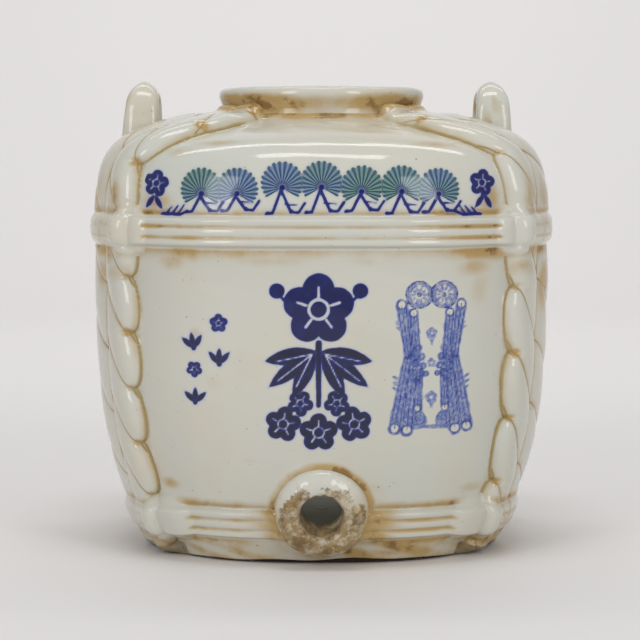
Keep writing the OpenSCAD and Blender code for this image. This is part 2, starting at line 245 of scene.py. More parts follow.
def waves(az, s, seed, count, low, high):
    """A smooth random wave over the jar, about 1 high: the unevenness of hand-finished porcelain."""
    rng = np.random.default_rng(seed)
    total = np.zeros_like(az)
    for _ in range(count):
        turns = rng.integers(low, high)
        rate = rng.uniform(low, high) / 250
        total += np.sin(np.radians(az) * turns + 2 * math.pi * s * rate + rng.uniform(0, 2 * math.pi))
    return total / math.sqrt(count)


BOSS = next(m for m in frame["record"]["mounts"] if m["name"] == "spigot_bore")
BOSS_AXIS = np.array(BOSS["axis"])
BOSS_AT = np.array(BOSS["pos_m"]) / MM
BOSS_R = 24.5
BORE_R = BOSS["dims"]["r_mm"]


def from_boss(points):
    """Distance from the boss's axis, and large behind the jar's middle."""
    rel = points - BOSS_AT
    along = rel @ BOSS_AXIS
    far = np.linalg.norm(rel - along[..., None] * BOSS_AXIS, axis=-1)
    return np.where(points[..., 1] < 0, far, 500.0)


# Smears of tea-coloured stain: azimuth, s, half width in degrees, half height and strength
SMEARS = [
    # The foot
    (20, 6, 14, 5, 0.6), (338, 9, 9, 5, 0.5), (8, 9, 4, 6, 0.5), (297, 12, 8, 8, 0.9),
    (60, 12, 8, 8, 0.9), (40, 20, 6, 6, 0.6), (318, 22, 6, 5, 0.6), (300, 16, 3, 9, 0.9),
    (53, 15, 3, 9, 0.9),
    # The wall
    (329, 128, 2, 6, 0.5), (333, 104, 3, 5, 0.35), (316, 46, 4, 4, 0.7), (44, 44, 5, 4, 0.6),
    (341, 62, 3, 2, 0.3), (22, 96, 2, 9, 0.2), (287, 60, 5, 12, 0.5), (73, 70, 5, 14, 0.5),
    # Under the upper hoop
    (38, 164, 6, 6, 0.55), (40, 152, 4, 12, 0.35), (322, 168, 5, 7, 0.8), (12, 168, 14, 4, 0.4),
    (345, 168, 16, 4, 0.45), (304, 170, 5, 6, 0.9), (57, 171, 5, 5, 0.9), (52, 150, 3, 9, 0.5),
    (66, 152, 5, 16, 0.9), (308, 160, 5, 6, 0.7), (52, 163, 5, 7, 0.7), (296, 158, 5, 8, 0.7),
    # Over the upper hoop and on the shoulder
    (43, 200, 4, 13, 0.75), (318, 198, 5, 6, 0.8), (300, 186, 4, 3, 0.6), (62, 186, 4, 4, 0.6),
    (309, 180, 3, 10, 0.5), (286, 194, 6, 11, 1.1), (75, 192, 6, 10, 1.0), (306, 200, 2.5, 8, 0.8),
    (60, 205, 3, 9, 0.6), (55, 198, 4, 13, 0.7), (66, 200, 5, 14, 0.75), (291, 206, 5, 14, 0.85),
    (300, 206, 2, 9, 0.6), (302, 224, 24, 11, 0.32), (58, 224, 24, 11, 0.32), (0, 224, 36, 9, 0.2),
    (318, 226, 8, 5, 0.5), (38, 232, 10, 4, 0.6), (326, 234, 9, 4, 0.8),
    # The sides and the back
    (170, 150, 20, 20, 0.4), (205, 90, 12, 25, 0.35), (93, 120, 4, 30, 0.4), (268, 100, 4, 40, 0.4),
]


def smears(az, s):
    total = np.zeros_like(az)
    for a, at, wide, high, strength in SMEARS:
        turn = np.mod(az - a + 180, 360) - 180
        total = np.maximum(total, strength * np.exp(-(turn / wide) ** 2 - ((s - at) / high) ** 2))
    return total


def relief(az, s):
    """Everything about the jar's outside at the places az, s: height over the wall, and masks for the
    glaze."""
    base = place(az, s, np.zeros_like(az))
    radius = np.hypot(base[..., 0], base[..., 1])
    boss_gap = np.maximum(from_boss(base) - BOSS_R, 0)
    ropes = rope_relief(az, s, radius)
    uneven = 0.22 * waves(az, s, 3, 9, 2, 9) + 0.05 * waves(az, s, 4, 9, 8, 24)
    total = ropes["height"] + uneven * 0.6
    on_rope = smooth((ropes["plain"] - 2) / 3)
    # Tea settles beside the ropes' lines and notches, in a hoop's grooves and beside it.
    stain = np.maximum(0.5 * bell(ropes["line"], 2.6), 1.15 * bell(ropes["notch"], 2.6))
    stain = np.maximum(stain, smears(az, s))
    hoops, knots = np.zeros_like(az), np.zeros_like(az)
    for k in (UPPER, LOWER):
        knot = knot_relief(az, s, k)
        rise, groove = hoop_relief(az, s, k, knot)
        inside = band(s, RUN[k], RUN[k + 1], 2.2)
        total = mix(total, ropes["plain"] * 0.86 + rise, inside) + knot
        hoops, knots = np.maximum(hoops, inside), np.maximum(knots, knot)
        towards_ropes = 0.55 + 0.45 * smooth((fold(az) - 6) / 34)
        below, above = np.maximum(RUN[k] - s, 0), np.maximum(s - RUN[k + 1], 0)
        beside = bell(below, 6.5) * bell(above, 4.2) * (1 - inside)
        stain = stain * (1 - 0.6 * inside * (1 - on_rope))
        stain = np.maximum(stain, 1.05 * beside * towards_ropes)
        stain = np.maximum(stain, 1.05 * groove * inside * towards_ropes * (1 - 0.4 * on_rope))
        stain = stain * (1 - 0.85 * smooth(knot / 2.4))
    collar = np.maximum(radius - COLLAR_R, 0) + 50 * (s < RUN[WALL_TOP])
    # Fillets round the boss and the collar
    total = total + 1.6 * bell(boss_gap, 3.2) + 2.2 * bell(collar, 2.4)
    ragged = 1 + 0.3 * waves(az, s, 7, 9, 6, 30)
    stain = np.maximum(stain, 1.15 * bell(boss_gap, 3.8) * mix(1, ragged, 0.5))
    stain = np.maximum(stain, 0.7 * bell(boss_gap, 15.0) * ragged * (0.35 + hoops))
    stain = np.maximum(stain, 1.05 * bell(collar, 4.2))
    stain = np.maximum(stain, 0.65 * ragged * (1 - smooth((s - RUN[LOWER] + 1) / 3)))
    # The height of the foot's dark edge, bare clay with painted shade of the gap under the foot, highest near
    # the front
    lip = FOOT_LIP + 1.9 * bell(np.mod(az + 172, 360) - 180, 22) + 0.55 * waves(az, 0 * s, 9, 9, 3, 17)
    total = total - FOOT_UNDERCUT * smooth((lip + 0.9 - s) / 1.6)
    unlined = smooth((hoops - 0.3) / 0.4) + smooth(knots / 0.8) + smooth((s - RUN[NECK] + 14) / 8)
    return {
        "height": total, "stain": stain, "knot": knots, "rim": ropes["rim"], "lay_x": ropes["lay_x"],
        "lay_y": ropes["lay_y"], "seam": (fold(az) - SEAM_AZ) * np.radians(radius),
        "unlined": np.clip(unlined, 0, 1), "lip": lip - s, "bare": np.clip(lip - s + 0.7, 0, 1),
    }


# ---- The grid that every piece of the outside is cut from ----

def spaced(edges, steps):
    """Numbers from the first edge up to the last, which is left out, each stretch at about its step."""
    parts = [np.linspace(a, b, max(int(round((b - a) / h)), 1), endpoint=False)
             for a, b, h in zip(edges[:-1], edges[1:], steps)]
    return np.concatenate(parts)


# Steps in degrees on the painted front and the ropes, and on the plain sides and back
FINE, COARSE = 0.36, 1.0
SIDE_STEPS = [COARSE, FINE, FINE]
COLUMNS = spaced(
    [0, 47, 61, 83.5, 96.5, 119, 133, 227, 241, 263.5, 276.5, 299, 313, 360],
    [FINE, FINE, FINE] + 3 * SIDE_STEPS + [FINE],
)
# How far a hoop's piece reaches past the hoop
HOOP_EDGE = 1.6
SEAMS = [0, RUN[FOOT], RUN[LOWER] - HOOP_EDGE, RUN[LOWER + 1] + HOOP_EDGE, RUN[UPPER] - HOOP_EDGE,
         RUN[UPPER + 1] + HOOP_EDGE, RUN[WALL_TOP], RUN[NECK] + 8]
LEVELS = np.append(spaced(SEAMS, [0.5, 0.9, 0.6, 0.85, 0.6, 0.85, 0.9]), SEAMS[-1])

AZ, S = np.meshgrid(COLUMNS, LEVELS, indexing="ij")
FIELD = relief(AZ, S)
OUTSIDE = place(AZ, S, FIELD["height"])


def grid_normals():
    wrapped = np.concatenate([OUTSIDE[-1:], OUTSIDE, OUTSIDE[:1]])
    along_az = (wrapped[2:] - wrapped[:-2])
    along_s = np.gradient(OUTSIDE, axis=1)
    n = np.cross(along_az, along_s)
    return n / np.maximum(np.linalg.norm(n, axis=-1, keepdims=True), 1e-9)


NORMALS = grid_normals()


def column_of(az):
    return int(np.argmin(np.abs(COLUMNS - az % 360)))


def level_of(s):
    return int(np.argmin(np.abs(LEVELS - s)))


# ---- The painting, in millimetres across (x) and up (z) on the front ----

X, Z = OUTSIDE[..., 0], OUTSIDE[..., 2]
IN_FRONT = (OUTSIDE[..., 1] < 0) & (S > RUN[LOWER])


def disc(x, z, r):
    return np.hypot(X - x, Z - z) - r


def along(x, z, angle):
    """How far each place is along and across the direction angle, in degrees, from x, z."""
    c, w = math.cos(math.radians(angle)), math.sin(math.radians(angle))
    return (X - x) * c + (Z - z) * w, (Z - z) * c - (X - x) * w


def oval(x, z, angle, length, width):
    """A petal centred at x, z."""
    u, v = along(x, z, angle)
    return (np.hypot(u / (length / 2), v / (width / 2)) - 1) * width / 2


def leaf(x, z, angle, length, width):
    """A pointed leaf that starts at x, z."""
    u, v = along(x, z, angle)
    r = ((length / 2) ** 2 + (width / 2) ** 2) / width
    sides = [np.hypot(u - length / 2, v + side * (r - width / 2)) - r for side in (-1, 1)]
    return np.maximum(*sides)


def stroke(x0, z0, x1, z1, w0, w1=None):
    """A straight brush stroke, w0 wide where it starts and w1 wide where it ends."""
    dx, dz = x1 - x0, z1 - z0
    t = np.clip(((X - x0) * dx + (Z - z0) * dz) / (dx * dx + dz * dz), 0, 1)
    return np.hypot(X - x0 - t * dx, Z - z0 - t * dz) - mix(w0, w0 if w1 is None else w1, t) / 2


def path(points, width):
    return joined([stroke(*a, *b, width) for a, b in zip(points[:-1], points[1:])])


def joined(shapes):
    out = shapes[0]
    for shape in shapes[1:]:
        out = np.minimum(out, shape)
    return out


def cut(shape, *holes):
    for hole in holes:
        shape = np.maximum(shape, -hole)
    return shape


def blossom(x, z, r, turn=90.0, bare=0.16, fill=1.0):
    """A plum blossom seen from the front, with a white eye and, where it is large, white veins."""
    turns = [turn + 72 * k for k in range(5)]
    dirs = [(math.cos(math.radians(a)), math.sin(math.radians(a))) for a in turns]
    shape = joined([disc(x + 0.56 * r * c, z + 0.56 * r * w, 0.43 * r * fill) for c, w in dirs])
    shape = np.minimum(shape, disc(x, z, 0.5 * r))
    ring = np.abs(disc(x, z, 0.27 * r)) - bare * r * 0.22
    veins = [stroke(x + 0.36 * r * c, z + 0.36 * r * w, x + 0.62 * r * c, z + 0.62 * r * w, 0.07 * r)
             for c, w in dirs]
    return cut(shape, ring, *veins) if r > 3.5 else cut(shape, disc(x, z, 0.17 * r))


def sprig(x, z, length, angles):
    return joined([leaf(x, z, a, length, 0.36 * length) for a in angles] + [disc(x, z, 0.16 * length)])


# The pine fans: the place of each hub, their radius, and how far the middle of the round part is over the hub
FAN_HUBS = [
    (-62.2, 197.4), (-43.6, 197.4), (-20.2, 200.6), (0, 200.9), (20.6, 198.6), (41.3, 198.6), (60.5, 197.2),
]
FAN_R = 10.6
FAN_RISE = 2.5


def pine_fans():
    """Distance to the fans' outline, and each place's position from the hub of the fan that it is in."""
    best = np.full_like(X, 500.0)
    dx, dz = np.zeros_like(X), np.zeros_like(X)
    for x, z in FAN_HUBS:
        round_part = disc(x, z + FAN_RISE, FAN_R)
        nearer = round_part < best
        best = np.where(nearer, round_part, best)
        dx, dz = np.where(nearer, X - x, dx), np.where(nearer, Z - z, dz)
    cut_below = -(dz + 0.56 * np.abs(dx) + 0.2)
    return np.maximum(best, cut_below), dx, dz


def branch():
    """The pine branch under the fans: a zig-zag with knots and twigs, and a comb of needles at each end."""
    parts = []
    for k, (x, z) in enumerate(FAN_HUBS):
        low = 187.9 + 0.7 * math.sin(2.1 * k)
        rise = [(x - 8.2, low), (x - 5.0, low + 0.3), (x - 0.6, z - 1.2), (x + 4.4, low + 0.9)]
        parts.append(path(rise, 1.6))
        parts.append(path([(x + 4.4, low + 0.9), (x + 8.4, low + 0.6), (x + 11.6, low + 5.4)], 1.5))
        parts += [disc(x + 4.6, low + 1.1, 1.2), disc(x, z, 1.5), disc(x - 7.6, low + 0.2, 1.0)]
        parts.append(stroke(x + 1.4, low + 5.0, x + 7.6, low + 4.4, 1.1, 0.7))
    for side in (-1, 1):
        x0 = side * 69.5
        parts.append(path([(x0, 188.3), (side * 73, 186.6), (side * 82.5, 186.9)], 1.7))
        for k in range(3):
            foot = side * (74.5 + 3.3 * k)
            parts.append(stroke(foot, 187.0, foot - side * 3.2, 191.6 - 0.5 * k, 1.4, 0.8))
    return joined(parts)


def emblem():
    """A plum blossom over bamboo leaves and a cluster of small blossoms."""
    cx, joint = -1.5, 116.5
    big = blossom(cx, 138.0, 18.5, bare=0.2, fill=1.05)
    stem = stroke(cx, 120.5, cx, 88.0, 3.4, 2.6)
    parts, leaves, veins = [big, stem], [], []
    for side in (-1, 1):
        parts.append(disc(cx + side * 21.5, 147.5, 4.0))
        parts.append(stroke(cx + side * 17.0, 142.0, cx + side * 21.0, 146.0, 1.8, 1.2))
        for a, length in ((26, 27.0), (52, 31.0), (78, 27.0)):
            leaves.append(leaf(cx + side * 1.5, joint, 270 + side * a, length, 8.4))
            x, z, vein = cx + side * 3.2, joint - 1.6, length - 8.0
            end_x = x + vein * math.sin(math.radians(side * a))
            end_z = z - vein * math.cos(math.radians(a))
            veins.append(stroke(x, z, end_x, end_z, 0.6))
        parts.append(blossom(cx + side * 18.5, 78.0, 9.6, turn=90 + side * 10))
        parts.append(blossom(cx + side * 9.5, 89.0, 7.0, turn=90 + side * 30))
    parts.append(blossom(cx, 73.6, 10.4))
    return joined(parts + [cut(joined(leaves), *veins)])


def small_motifs():
    """The five little blossoms and sprigs at the left, and a flower at each end of the pine fans."""
    parts = [
        blossom(-53.4, 130.4, 5.0), sprig(-53.2, 109.0, 8.6, (50, 90, 130)),
        sprig(-66.6, 117.0, 8.6, (60, 100, 140)), blossom(-66.4, 106.0, 4.4, turn=54),
        sprig(-66.0, 88.4, 8.2, (45, 90, 135)),
    ]
    for x, z, s in ((-86.6, 201.0, -1), (84.0, 201.4, 1)):
        parts.append(blossom(x, z + 1.6, 7.2, turn=80))
        parts += [leaf(x + s * 1.0, z - 4.5, a, 8.5, 3.0) for a in (235, 300)]
        parts.append(stroke(x, z - 3, x - s * 1.0, z - 8.6, 1.2, 0.7))
    return joined(parts)


# The bound middle of the printed sheaves: offset from its centre line, height and radius of each round leaf
WAIST = [
    (7.2, 117.6, 2.6), (10.0, 114.2, 2.4), (5.4, 113.0, 2.4), (8.4, 109.6, 3.0), (4.4, 108.2, 2.2),
    (6.4, 104.6, 2.8), (10.2, 104.8, 2.6), (3.0, 104.2, 1.8), (8.2, 100.6, 2.2),
]
# The reeds of a sheaf: each end's offset from the centre line and height, then the width at each end
REEDS = [
    (-11.8, 112, -15.8, 140.2, 5.0, 6.4), (-7.6, 112, -9.6, 135.8, 4.6, 5.6),
    (-12.6, 113, -19.2, 75.4, 4.6, 7.4), (-9.2, 113, -12.8, 74.4, 4.6, 7.4),
    (-6.2, 106, -7.2, 86.0, 4.0, 5.0),
]


def printed_panel():
    """The pale print at the right: two chrysanthemums over two sheaves of reeds, bound at the middle. Gives
    its filled shape and its drawn lines."""
    cx, top = 57.2, 145.2
    lines, fill, holes = [], [], []
    for side in (-1, 1):
        x = cx + side * 6.6
        lines += [np.abs(disc(x, top, 6.9)) - 0.45, np.abs(disc(x, top, 4.7)) - 0.2, disc(x, top, 1.3)]
        fill += [oval(x + 3.1 * math.cos(a), top + 3.1 * math.sin(a), math.degrees(a), 3.2, 1.5)
                 for a in np.arange(0, 2 * math.pi, math.pi / 5)]
        fill.append(np.abs(disc(x, top, 5.8)) - 0.8)
        for x0, z0, x1, z1, w0, w1 in REEDS:
            a, b = cx - side * x0, cx - side * x1
            fill.append(stroke(a, z0, b, z1, w0, w1))
            holes.append(disc(b, z1, 0.26 * w1))
            lines += [stroke(a + k * w0 / 3, z0, b + k * w1 / 3, z1, 0.5, 0.5) for k in (-1, 0, 1)]
            lines.append(np.abs(disc(b, z1, 0.36 * w1)) - 0.3)
        for z in (129.0, 126.5, 101.0, 98.0, 95.0):
            foot = 14.6 if z > 112 else 16.4
            fill.append(leaf(cx + side * foot, z, 90 - side * 62, 5.0, 1.7))
        fill += [disc(cx + side * x, z, r) for x, z, r in WAIST]
        lines += [np.abs(disc(cx + side * x, z, 0.6 * r)) - 0.25 for x, z, r in WAIST]
        fill.append(oval(cx + side * 6.8, 80.4, 90 + side * 58, 8.4, 11.4))
        lines += [np.abs(disc(cx + side * 6.8, 80.4, r)) - 0.25 for r in (1.6, 3.4)]
    fill += [blossom(cx, 125.2, 3.3), blossom(cx, 109.8, 2.6), blossom(cx, 91.6, 3.4)]
    fill.append(stroke(cx - 9, 76, cx + 9, 76, 2.4))
    fill += [leaf(cx + side * 1.4, z, 270 - side * 24, 5.6, 1.6) for z in (123.4, 90.4) for side in (-1, 1)]
    return cut(joined(fill), *holes), joined(lines)


def painted():
    """The masks of the painting: distances to each kind of shape, and places in the fans."""
    fan, fan_x, fan_z = pine_fans()
    print_fill, print_line = printed_panel()
    layers = {
        "ink": joined([emblem(), small_motifs(), branch()]),
        "fan": fan, "fan_x": fan_x, "fan_z": fan_z, "print_fill": print_fill, "print_line": print_line,
    }
    for name in ("ink", "fan", "print_fill", "print_line"):
        layers[name] = np.where(IN_FRONT, np.clip(layers[name], -8, 8), 8.0)
    return layers


FIELD.update(painted())
GLAZE_MASKS = ("stain",)
ROPE_MASKS = ("stain", "rim", "seam", "lay_x", "lay_y", "unlined")
WALL_MASKS = ("stain", "ink", "fan", "fan_x", "fan_z", "print_fill", "print_line")


# ---- Building meshes ----

def linked(name, data):
    obj = bpy.data.objects.new(name, data)
    bpy.context.scene.collection.objects.link(obj)
    return obj


def smooth_mesh(name, points, faces):
    mesh = bpy.data.meshes.new(name)
    mesh.from_pydata(np.asarray(points).tolist(), [], faces)
    mesh.update()
    for polygon in mesh.polygons:
        polygon.use_smooth = True
    return linked(name, mesh)


def new_piece(name, points, faces):
    obj = smooth_mesh(name, points * MM, faces)
    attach(obj, "root")
    return obj


def give_masks(obj, masks):
    for name, values in masks.items():
        attribute = obj.data.attributes.new(name, "FLOAT", "POINT")
        attribute.data.foreach_set("value", np.asarray(values, dtype=np.float32).ravel())


# Each mask's value on the inner faces, where it isn't 0
UNTOUCHED = {
    "rim": 50.0, "seam": 50.0, "lay_x": -1.0, "unlined": 1.0, "lip": -9.0,
    "ink": 8.0, "fan": 8.0, "print_fill": 8.0, "print_line": 8.0,
}


def cut_from_grid(name, columns, levels, depth, cover=None, keep=None, masks=GLAZE_MASKS, ring=False):
    """A closed piece of the jar's outside: grid columns by grid levels, with its inner face at depth from the
    wall. Where cover is under SHOWN the outer face is sunk to cover, below a neighbour. keep says which cells
    exist, and a ring closes on itself."""
    pick = np.ix_(columns, levels)
    az, s = AZ[pick], S[pick]
    top = OUTSIDE[pick].copy()
    if cover is not None:
        sunk = cover[pick] < SHOWN
        top[sunk] = place(az, s, cover[pick])[sunk]
    low = place(az, s, np.full_like(az, depth))
    w, h = az.shape
    exists = np.ones((w if ring else w - 1, h - 1), bool)
    if keep is not None:
        exists &= keep[pick][:exists.shape[0], :h - 1]

    def quads(c0, r0, c1, r1, c2, r2, c3, r3, layers):
        corners = zip((c0, c1, c2, c3), (r0, r1, r2, r3), layers)
        return np.stack([layer * w * h + (c % w) * h + r for c, r, layer in corners], axis=1)

    c, r = np.nonzero(exists)
    faces = [quads(c, r, c + 1, r, c + 1, r + 1, c, r + 1, (0, 0, 0, 0)),
             quads(c, r + 1, c + 1, r + 1, c + 1, r, c, r, (1, 1, 1, 1))]
    padded = np.pad(exists, 1)
    if ring:
        padded[0, 1:-1], padded[-1, 1:-1] = exists[-1], exists[0]
    edges = [(padded[1:-1, :-2], 1, 0, 0, 0), (padded[1:-1, 2:], 0, 1, 1, 1),
             (padded[:-2, 1:-1], 0, 0, 0, 1), (padded[2:, 1:-1], 1, 1, 1, 0)]
    for beyond, dc0, dr0, dc1, dr1 in edges:
        c, r = np.nonzero(exists & ~beyond)
        first, last = (c + dc0, r + dr0), (c + dc1, r + dr1)
        faces.append(quads(*first, *last, *last, *first, (0, 0, 1, 1)))
    outer_count, inner_count = len(faces[0]), len(faces[1])
    faces = np.concatenate(faces)
    used, renumbered = np.unique(faces, return_inverse=True)
    renumbered = renumbered.reshape(faces.shape)
    points = np.concatenate([top.reshape(-1, 3), low.reshape(-1, 3)])
    obj = new_piece(name, points[used], renumbered.tolist())
    for mask in masks:
        inside = np.full(w * h, UNTOUCHED.get(mask, 0.0))
        give_masks(obj, {mask: np.concatenate([FIELD[mask][pick].ravel(), inside])[used]})
    relief_normals = NORMALS[pick].reshape(-1, 3)[faces[:outer_count]]
    set_normals(obj, relief_normals.reshape(-1, 3), 4 * (outer_count + inner_count))
    return obj


def set_normals(obj, outer, smooth_loops):
    """Shades the outer face with the whole relief's normals, so seams don't show, and keeps the sides
    flat."""
    mesh = obj.data
    corner = np.empty(len(mesh.loops), dtype=np.int64)
    mesh.loops.foreach_get("vertex_index", corner)
    flat = np.empty(3 * len(mesh.polygons), dtype=np.float32)
    mesh.polygons.foreach_get("normal", flat)
    at_vertex = np.empty(3 * len(mesh.vertices), dtype=np.float32)
    mesh.vertices.foreach_get("normal", at_vertex)
    normals = np.repeat(flat.reshape(-1, 3), 4, axis=0)
    normals[:smooth_loops] = at_vertex.reshape(-1, 3)[corner[:smooth_loops]]
    normals[:len(outer)] = outer
    mesh.normals_split_custom_set(normals.tolist())


def loft(name, points):
    """A closed ring-shaped piece from points[i, j], which wrap round both ways."""
    n, m = points.shape[:2]
    i, j = [k.ravel() for k in np.meshgrid(np.arange(n), np.arange(m), indexing="ij")]
    ni, nj = (i + 1) % n, (j + 1) % m
    faces = np.stack([i * m + j, ni * m + j, ni * m + nj, i * m + nj], axis=1)
    return new_piece(name, points.reshape(-1, 3), faces.tolist())


def columns_between(a, b):
    return list(range(column_of(a), column_of(b) + 1))


def levels_between(a, b):
    return list(range(level_of(a), level_of(b) + 1))


# ---- Which piece lies over which ----

# A cover this far out or further hides nothing.
SHOWN = 50.0
HOOP_SPANS = {k: (RUN[k] - HOOP_EDGE, RUN[k + 1] + HOOP_EDGE) for k in (LOWER, UPPER)}
# Between these azimuths of the first quarter the ropes and the fillets along their edges cover the wall.
ROPES_FROM, ROPES_TO = 47.0, 83.5
FILLET_AZ = {"inner": (ROPES_FROM, SEAM_AZ), "outer": (SEAM_AZ, ROPES_TO)}


def covers():
    """How far out each kind of piece may reach under its neighbours, and SHOWN or more where it shows."""
    open_all = np.full_like(AZ, 2 * SHOWN)
    f = fold(AZ)
    under_knot = FIELD["height"] - FIELD["knot"] - 0.8
    knots = np.where(FIELD["knot"] > KNOT_EDGE, under_knot, open_all)
    hoops = knots.copy()
    for low, high in HOOP_SPANS.values():
        hoops = np.where((S > low + 0.1) & (S < high - 0.1), 1.0, hoops)
    ropes = np.where((f > ROPES_FROM + 0.1) & (f < ROPES_TO - 0.1), 0.0, hoops)
    return {"wall": np.minimum(ropes, hoops), "rope": np.minimum(hoops, knots), "hoop": knots}


COVER = covers()


def touching(corners):
    """The grid cells that have at least one of the corners."""
    cell = corners[:, :-1] | corners[:, 1:]
    cell = cell | np.roll(cell, -1, axis=0)
    return np.pad(cell, ((0, 0), (0, 1)))


# ---- Materials ----

class Nodes:
    """Short ways to add and join shader nodes."""

    def __init__(self, name):
        self.material = bpy.data.materials.new(name)
        self.material.use_nodes = True
        self.tree = self.material.node_tree
        self.shader = next(n for n in self.tree.nodes if n.type == "BSDF_PRINCIPLED")

    def put(self, socket, value):
        if isinstance(value, bpy.types.NodeSocket):
            self.tree.links.new(value, socket)
        else:
            socket.default_value = value

    def fill(self, node, inputs):
        for key, value in inputs.items():
            self.put(node.inputs[key], value)

    def add(self, kind, **settings):
        node = self.tree.nodes.new(kind)
        for key, value in settings.items():
            setattr(node, key, value)
        return node

    def math(self, operation, a, b=0.0, c=0.0):
        node = self.add("ShaderNodeMath", operation=operation)
        self.fill(node, {0: a, 1: b, 2: c})
        return node.outputs[0]

    def times(self, a, b):
        return self.math("MULTIPLY", a, b)

    def ramp(self, value, low, high, to_low=0.0, to_high=1.0):
        """value, taken smoothly from low..high to to_low..to_high, and held beyond."""
        node = self.add("ShaderNodeMapRange", interpolation_type="SMOOTHSTEP")
        self.fill(node, {"Value": value, "From Min": low, "From Max": high})
        self.fill(node, {"To Min": to_low, "To Max": to_high})
        return node.outputs["Result"]

    def attribute(self, name):
        return self.add("ShaderNodeAttribute", attribute_name=name).outputs["Fac"]

    def position(self):
        return self.add("ShaderNodeTexCoord").outputs["Object"]

    def noise(self, scale, detail=3.0, roughness=0.5):
        node = self.add("ShaderNodeTexNoise")
        self.fill(node, {"Vector": self.position(), "Scale": scale, "Detail": detail, "Roughness": roughness})
        return node.outputs["Fac"]

    def blend(self, factor, a, b):
        node = self.add("ShaderNodeMix", data_type="RGBA")
        self.fill(node, {"Factor": factor, 6: a, 7: b})
        return node.outputs[2]

    def bump(self, height, distance, strength=1.0, normal=None):
        node = self.add("ShaderNodeBump")
        self.fill(node, {"Height": height, "Distance": distance, "Strength": strength})
        if normal is not None:
            self.put(node.inputs["Normal"], normal)
        return node.outputs["Normal"]


def rgb(r, g, b):
    """A colour given in sRGB, 0 to 255."""
    channels = [c / 255 for c in (r, g, b)]
    return tuple(c / 12.92 if c <= 0.04045 else ((c + 0.055) / 1.055) ** 2.4 for c in channels) + (1.0,)


GLAZE = rgb(205, 204, 193)
GLAZE_WARM = rgb(205, 199, 181)
GLAZE_COOL = rgb(198, 202, 194)
TEA = rgb(180, 150, 92)
TEA_DARK = rgb(120, 84, 38)
OLIVE = rgb(156, 134, 80)
CLAY = rgb(150, 126, 84)
CLAY_PALE = rgb(206, 197, 174)
CLAY_DARK = rgb(104, 78, 46)
# Near-black brown of the foot's edge: unglazed clay with painted shade
FOOT_CLAY_AND_SHADE = rgb(46, 32, 22)
COBALT = rgb(3, 10, 76)
COBALT_RIM = rgb(24, 42, 130)
COBALT_DARK = rgb(18, 17, 44)
COBALT_WASH = rgb(150, 164, 206)
PALE_BLUE = rgb(96, 114, 172)
PRINT_BLUE = rgb(38, 56, 136)
TEAL = rgb(102, 140, 128)
FAN_BLUE = rgb(106, 132, 166)
RIB_BLUE = rgb(16, 44, 86)


def rope_line(n):
    """How near each place is to a line on the ropes: between strands, along the free edge or along the
    seam."""
    turn = n.math("ABSOLUTE", n.math("ARCTAN2", n.attribute("lay_y"), n.attribute("lay_x")))
    rim = n.attribute("rim")
    strand = n.math("MULTIPLY_ADD", turn, 3.7, n.ramp(rim, -0.5, 0.3, 0.0, 20.0))
    side = n.math("MINIMUM", n.math("ABSOLUTE", rim), n.math("ABSOLUTE", n.attribute("seam")))
    return n.math("MINIMUM", strand, side)


def glaze_material(name, painting=False, clay=False, ropes=False):
    """Glossy porcelain glaze with settled stains. painting adds the cobalt, clay the bare places and ropes
    the lines between strands."""
    n = Nodes(name)
    cloud = n.noise(14.0, 3.0)
    color = n.blend(n.ramp(cloud, 0.45, 0.75), GLAZE, GLAZE_WARM)
    color = n.blend(n.ramp(n.noise(9.0, 2.0), 0.5, 0.72, 0.0, 0.8), color, GLAZE_COOL)
    patchy = n.ramp(n.noise(26.0, 4.0, 0.6), 0.34, 0.62)
    wide = n.times(n.attribute("stain"), n.math("MULTIPLY_ADD", patchy, 0.65, 0.58))
    color = n.blend(n.ramp(wide, 0.1, 1.0, 0.0, 0.95), color, TEA)
    deep = n.times(wide, n.ramp(n.noise(60.0, 4.0, 0.65), 0.4, 0.68))
    color = n.blend(n.ramp(deep, 0.45, 1.05, 0.0, 0.75), color, TEA_DARK)
    if ropes:
        width = n.ramp(n.noise(20.0, 2.0), 0.3, 0.7, 0.6, 1.15)
        line = n.ramp(n.math("DIVIDE", rope_line(n), width), 0.1, 1.0, 1.0, 0.0)
        line = n.times(line, n.math("SUBTRACT", 1.0, n.attribute("unlined")))
        faded = n.times(line, n.ramp(n.noise(33.0, 2.0), 0.2, 0.6, 0.6, 0.95))
        color = n.blend(faded, color, OLIVE)
    specks = n.ramp(n.noise(420.0, 1.0), 0.765, 0.8)
    color = n.blend(n.times(specks, 0.5), color, TEA_DARK)
    if painting:
        color = paint(n, color)
    rough = n.ramp(n.noise(70.0, 3.0), 0.3, 0.75, 0.07, 0.15)
    normal = n.bump(n.noise(38.0, 2.0), 0.0006, 0.35)
    normal = n.bump(n.noise(240.0, 2.0), 0.0001, 0.25, normal)
    if clay:
        patch = n.math("ADD", n.attribute("bare"), n.ramp(n.noise(120.0, 6.0, 0.7), 0.36, 0.64, -0.55, 0.35))
        bare = n.ramp(patch, 0.36, 0.6)
        fired = n.blend(n.ramp(n.noise(170.0, 6.0, 0.7), 0.42, 0.64, 0.0, 0.85), CLAY, CLAY_PALE)
        fired = n.blend(n.ramp(n.noise(110.0, 6.0, 0.7), 0.48, 0.62, 0.0, 0.7), fired, CLAY_DARK)
        # Below lip the foot's edge is darkened: bare clay and painted shade of the gap under the foot
        fired = n.blend(n.ramp(n.attribute("lip"), -0.3, 0.3), fired, FOOT_CLAY_AND_SHADE)
        color = n.blend(bare, color, fired)
        rough = n.math("MULTIPLY_ADD", bare, 0.45, rough)
        grain = n.times(bare, n.noise(260.0, 4.0, 0.6))
        normal = n.bump(grain, 0.0008, 0.7, normal)
    n.fill(n.shader, {"Base Color": color, "Roughness": rough, "Specular IOR Level": 0.4, "Normal": normal})
    return n.material


